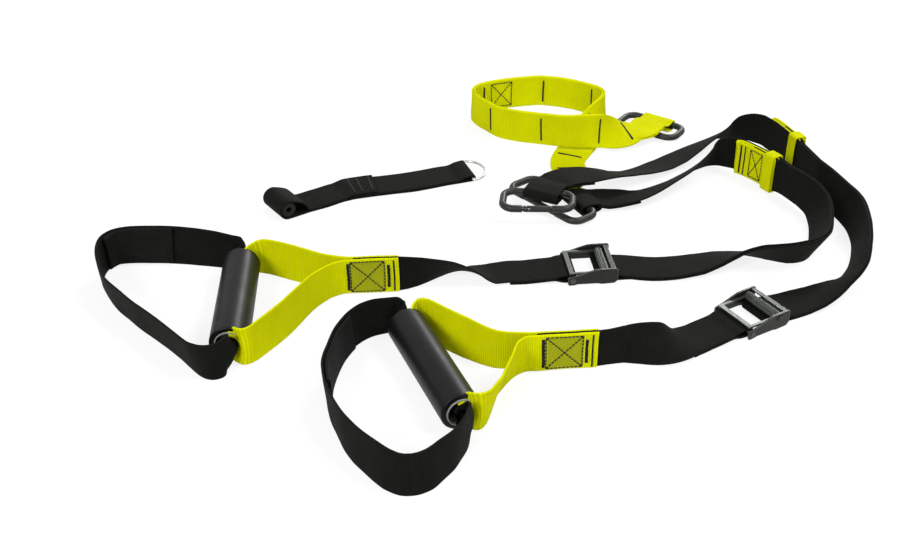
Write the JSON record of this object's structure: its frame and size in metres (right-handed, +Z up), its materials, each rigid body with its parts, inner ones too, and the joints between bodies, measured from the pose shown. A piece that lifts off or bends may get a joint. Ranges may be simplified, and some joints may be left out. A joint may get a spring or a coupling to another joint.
{
  "type": "suspension trainer",
  "caption": "Suspension trainer laid out on the floor: webbing straps with foam grips, foot loops, cam buckles, carabiners, an anchor loop and a separate door anchor.",
  "frame": {"origin": "centre of the object's box, on the floor that it lies on", "axes": "+Z up from the floor, +X along the straps from the grips to their far bends, +Y away from the viewer"},
  "size_m": [0.7552, 0.6952, 0.047],
  "materials": {
    "black_webbing": "woven, matt",
    "yellow_webbing": "woven with fine cross ribs, matt",
    "black_foam": "closed-cell foam, satin",
    "grey_plastic": "matt",
    "black_coated_steel": "satin black coating",
    "zinc_steel": "dull zinc plating",
    "spring_steel": "bright wire"
  },
  "bodies": {
    "trainer": {"handle_strap_l": "yellow_webbing", "handle_strap_r": "yellow_webbing", "foot_cradle_l": "black_webbing", "foot_cradle_r": "black_webbing", "cradle_pad_l": "black_webbing", "cradle_pad_r": "black_webbing", "lower_strap_l": "black_webbing", "lower_strap_r": "black_webbing", "upper_strap_l": "black_webbing", "upper_strap_r": "black_webbing", "adjuster_tab_l": "yellow_webbing", "adjuster_tab_r": "yellow_webbing", "tab_keeper_l": "yellow_webbing", "tab_keeper_r": "yellow_webbing", "buckle_frame_l": "black_coated_steel", "buckle_frame_r": "black_coated_steel", "buckle_bar_l": "zinc_steel", "buckle_bar_r": "zinc_steel", "cam_pin_l": "black_coated_steel", "cam_pin_r": "black_coated_steel", "cam_spring_l": "spring_steel", "cam_spring_r": "spring_steel", "anchor_strap": "yellow_webbing", "carabiner_2": "black_coated_steel", "gate_pin_2": "zinc_steel", "carabiner_3": "black_coated_steel", "gate_pin_3": "zinc_steel"},
    "grip_l": {"foam_grip_l": "black_foam", "grip_tube_l": "grey_plastic"},
    "grip_r": {"foam_grip_r": "black_foam", "grip_tube_r": "grey_plastic"},
    "cam_lever_l": {"cam_lever_l": "zinc_steel"},
    "cam_lever_r": {"cam_lever_r": "zinc_steel"},
    "carabiner_1": {"carabiner_1": "black_coated_steel", "gate_pin_1": "zinc_steel"},
    "gate_1": {"gate_1": "black_coated_steel", "gate_spring_1": "spring_steel"},
    "gate_2": {"gate_2": "black_coated_steel", "gate_spring_2": "spring_steel"},
    "gate_3": {"gate_3": "black_coated_steel", "gate_spring_3": "spring_steel"},
    "door_anchor": {"door_strap": "black_webbing", "door_roller": "black_foam"},
    "door_ring": {"door_ring": "zinc_steel"}
  },
  "joints": [
    {"name": "grip_l_spin", "type": "hinge", "parent": "trainer", "child": "grip_l", "pos_m": [-0.23572, -0.10963, 0.01794], "axis": [-0.0593, 0.9982, 0], "continuous": true},
    {"name": "grip_r_spin", "type": "hinge", "parent": "trainer", "child": "grip_r", "pos_m": [-0.05472, -0.20663, 0.01794], "axis": [-0.3746, 0.9272, 0], "continuous": true},
    {"name": "cam_lever_l_open", "type": "hinge", "parent": "trainer", "child": "cam_lever_l", "pos_m": [0.1057, -0.03033, 0.01184], "axis": [-0.1045, 0.9945, 0], "range_deg": [0, 50], "stiffness_Nm_per_rad": 0.02, "springref_deg": -28.65},
    {"name": "cam_lever_r_open", "type": "hinge", "parent": "trainer", "child": "cam_lever_r", "pos_m": [0.24598, -0.10721, 0.01184], "axis": [-0.515, 0.8572, 0], "range_deg": [0, 50], "stiffness_Nm_per_rad": 0.02, "springref_deg": -28.65},
    {"name": "carabiner_1_swing", "type": "hinge", "parent": "trainer", "child": "carabiner_1", "pos_m": [0.05127, 0.09426, 0.01784], "axis": [-0.9945, 0.1045, 0], "range_deg": [0, 80]},
    {"name": "gate_1_open", "type": "hinge", "parent": "carabiner_1", "child": "gate_1", "pos_m": [0.03635, 0.0597, 0.01784], "axis": [0, 0, 1], "range_deg": [0, 25], "stiffness_Nm_per_rad": 0.02, "springref_deg": -28.65},
    {"name": "gate_2_open", "type": "hinge", "parent": "trainer", "child": "gate_2", "pos_m": [0.03943, 0.10308, 0.00664], "axis": [0, 0, 1], "range_deg": [0, 22], "stiffness_Nm_per_rad": 0.02, "springref_deg": -28.65},
    {"name": "gate_3_open", "type": "hinge", "parent": "trainer", "child": "gate_3", "pos_m": [0.17237, 0.26393, 0.00664], "axis": [0, 0, 1], "range_deg": [0, 14], "stiffness_Nm_per_rad": 0.02, "springref_deg": -28.65},
    {"name": "door_anchor_lift", "type": "slide", "parent": "trainer", "child": "door_anchor", "axis": [0, 0, 1], "range_m": [0, 0.3]},
    {"name": "door_ring_swing", "type": "hinge", "parent": "door_anchor", "child": "door_ring", "pos_m": [-0.02372, 0.16737, 0.00434], "axis": [0.342, -0.9397, 0], "range_deg": [0, 110]}
  ]
}
